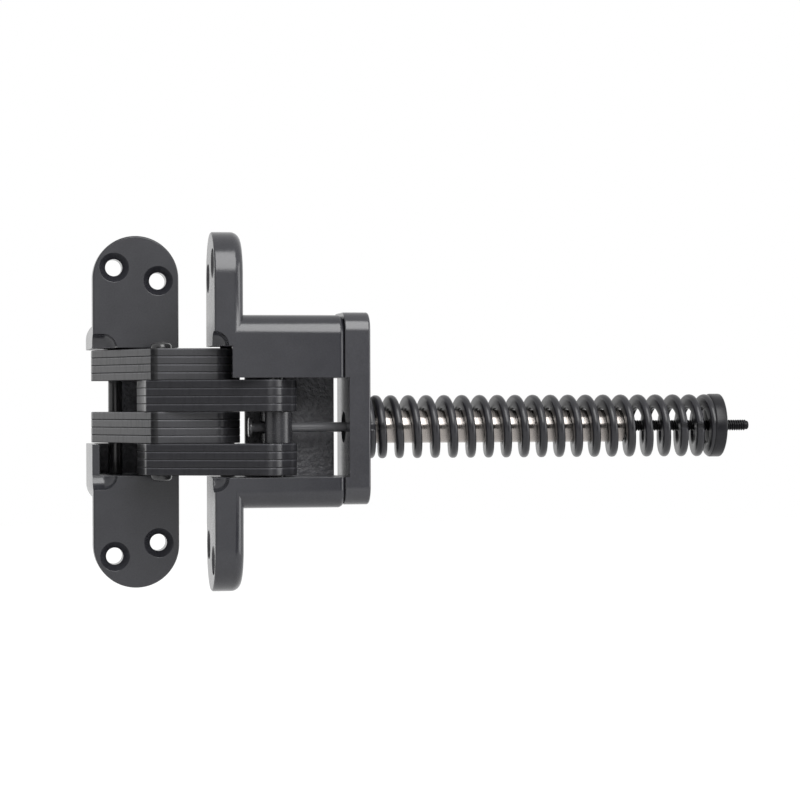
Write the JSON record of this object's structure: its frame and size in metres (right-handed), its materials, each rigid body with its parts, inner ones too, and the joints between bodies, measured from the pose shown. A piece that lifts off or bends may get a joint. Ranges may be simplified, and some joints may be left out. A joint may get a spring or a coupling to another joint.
{
  "type": "concealed door hinge with spring closer",
  "caption": "Concealed scissor-link door hinge in black-coated steel, with a spring closer rod behind the door leaf, opened to a right angle.",
  "frame": {"origin": "where the planes of the two leaf faces cross, at the middle of the leaves' height, with the hinge open to a right angle", "axes": "+X from the door leaf's face along the pull rod, +Y from the jamb leaf's face into the jamb, +Z along the hinge pins"},
  "size_m": [0.219, 0.0824, 0.1174],
  "materials": {
    "coated_casting": "satin black coat over a cast leaf",
    "coated_link": "satin black coat over stamped steel",
    "coated_pin": "satin black coat over turned steel",
    "spring_wire": "black spring wire",
    "bright_tube": "satin nickel-coloured tube",
    "black_steel": "black oxide on turned and threaded steel"
  },
  "bodies": {
    "door_leaf": {"door_leaf_casting": "coated_casting", "end_plate": "coated_casting", "end_plate_screws": "coated_pin", "guide_tube": "bright_tube", "door_pivot_pin": "coated_pin", "closing_spring": "spring_wire"},
    "door_link": {"door_link_plate_1": "coated_link", "door_link_plate_2": "coated_link", "door_link_plate_3": "coated_link", "door_link_plate_4": "coated_link", "door_link_plate_5": "coated_link", "door_link_plate_6": "coated_link", "door_link_plate_7": "coated_link", "door_link_plate_8": "coated_link", "centre_pin": "coated_pin", "jamb_slide_pin": "coated_pin"},
    "jamb_link": {"jamb_link_plate_1": "coated_link", "jamb_link_plate_2": "coated_link", "jamb_link_plate_3": "coated_link", "jamb_link_plate_4": "coated_link", "jamb_link_plate_5": "coated_link", "jamb_link_plate_6": "coated_link", "jamb_link_plate_7": "coated_link", "jamb_link_plate_8": "coated_link"},
    "jamb_leaf": {"jamb_leaf_casting": "coated_casting", "jamb_pivot_pin": "coated_pin"},
    "yoke": {"spring_yoke": "coated_link"},
    "rod": {"pull_rod": "black_steel", "spring_nut": "black_steel"}
  },
  "joints": [
    {"name": "door_link_pivot", "type": "hinge", "parent": "door_leaf", "child": "door_link", "pos_m": [0.0066, -0.012, 0], "axis": [0, 0, 1], "range_deg": [-61.04, 61.04]},
    {"name": "link_scissor", "type": "hinge", "parent": "door_link", "child": "jamb_link", "pos_m": [-0.0156, -0.0156, 0], "axis": [0, 0, 1], "range_deg": [-32.09, 32.09]},
    {"name": "jamb_link_pivot", "type": "hinge", "parent": "jamb_link", "child": "jamb_leaf", "pos_m": [-0.012, 0.0066, 0], "axis": [0, 0, 1], "range_deg": [-61.05, 61.05]},
    {"name": "yoke_pivot", "type": "hinge", "parent": "jamb_link", "child": "yoke", "pos_m": [0.0215, -0.0283, -0.0052], "axis": [0, 0, 1], "range_deg": [-28.97, 28.97]},
    {"name": "rod_slide", "type": "slide", "parent": "door_leaf", "child": "rod", "axis": [1, 0, 0], "range_m": [-0.01126, 0.01126], "deforming": ["closing_spring"]}
  ],
  "couplings": [
    {"joint": "link_scissor", "follows": "door_link_pivot", "ratio": -0.52552},
    {"joint": "jamb_link_pivot", "follows": "door_link_pivot", "ratio": 1},
    {"joint": "yoke_pivot", "follows": "door_link_pivot", "ratio": -0.47448},
    {"joint": "rod_slide", "follows": "door_link_pivot", "m_per_rad": 0.01056}
  ]
}
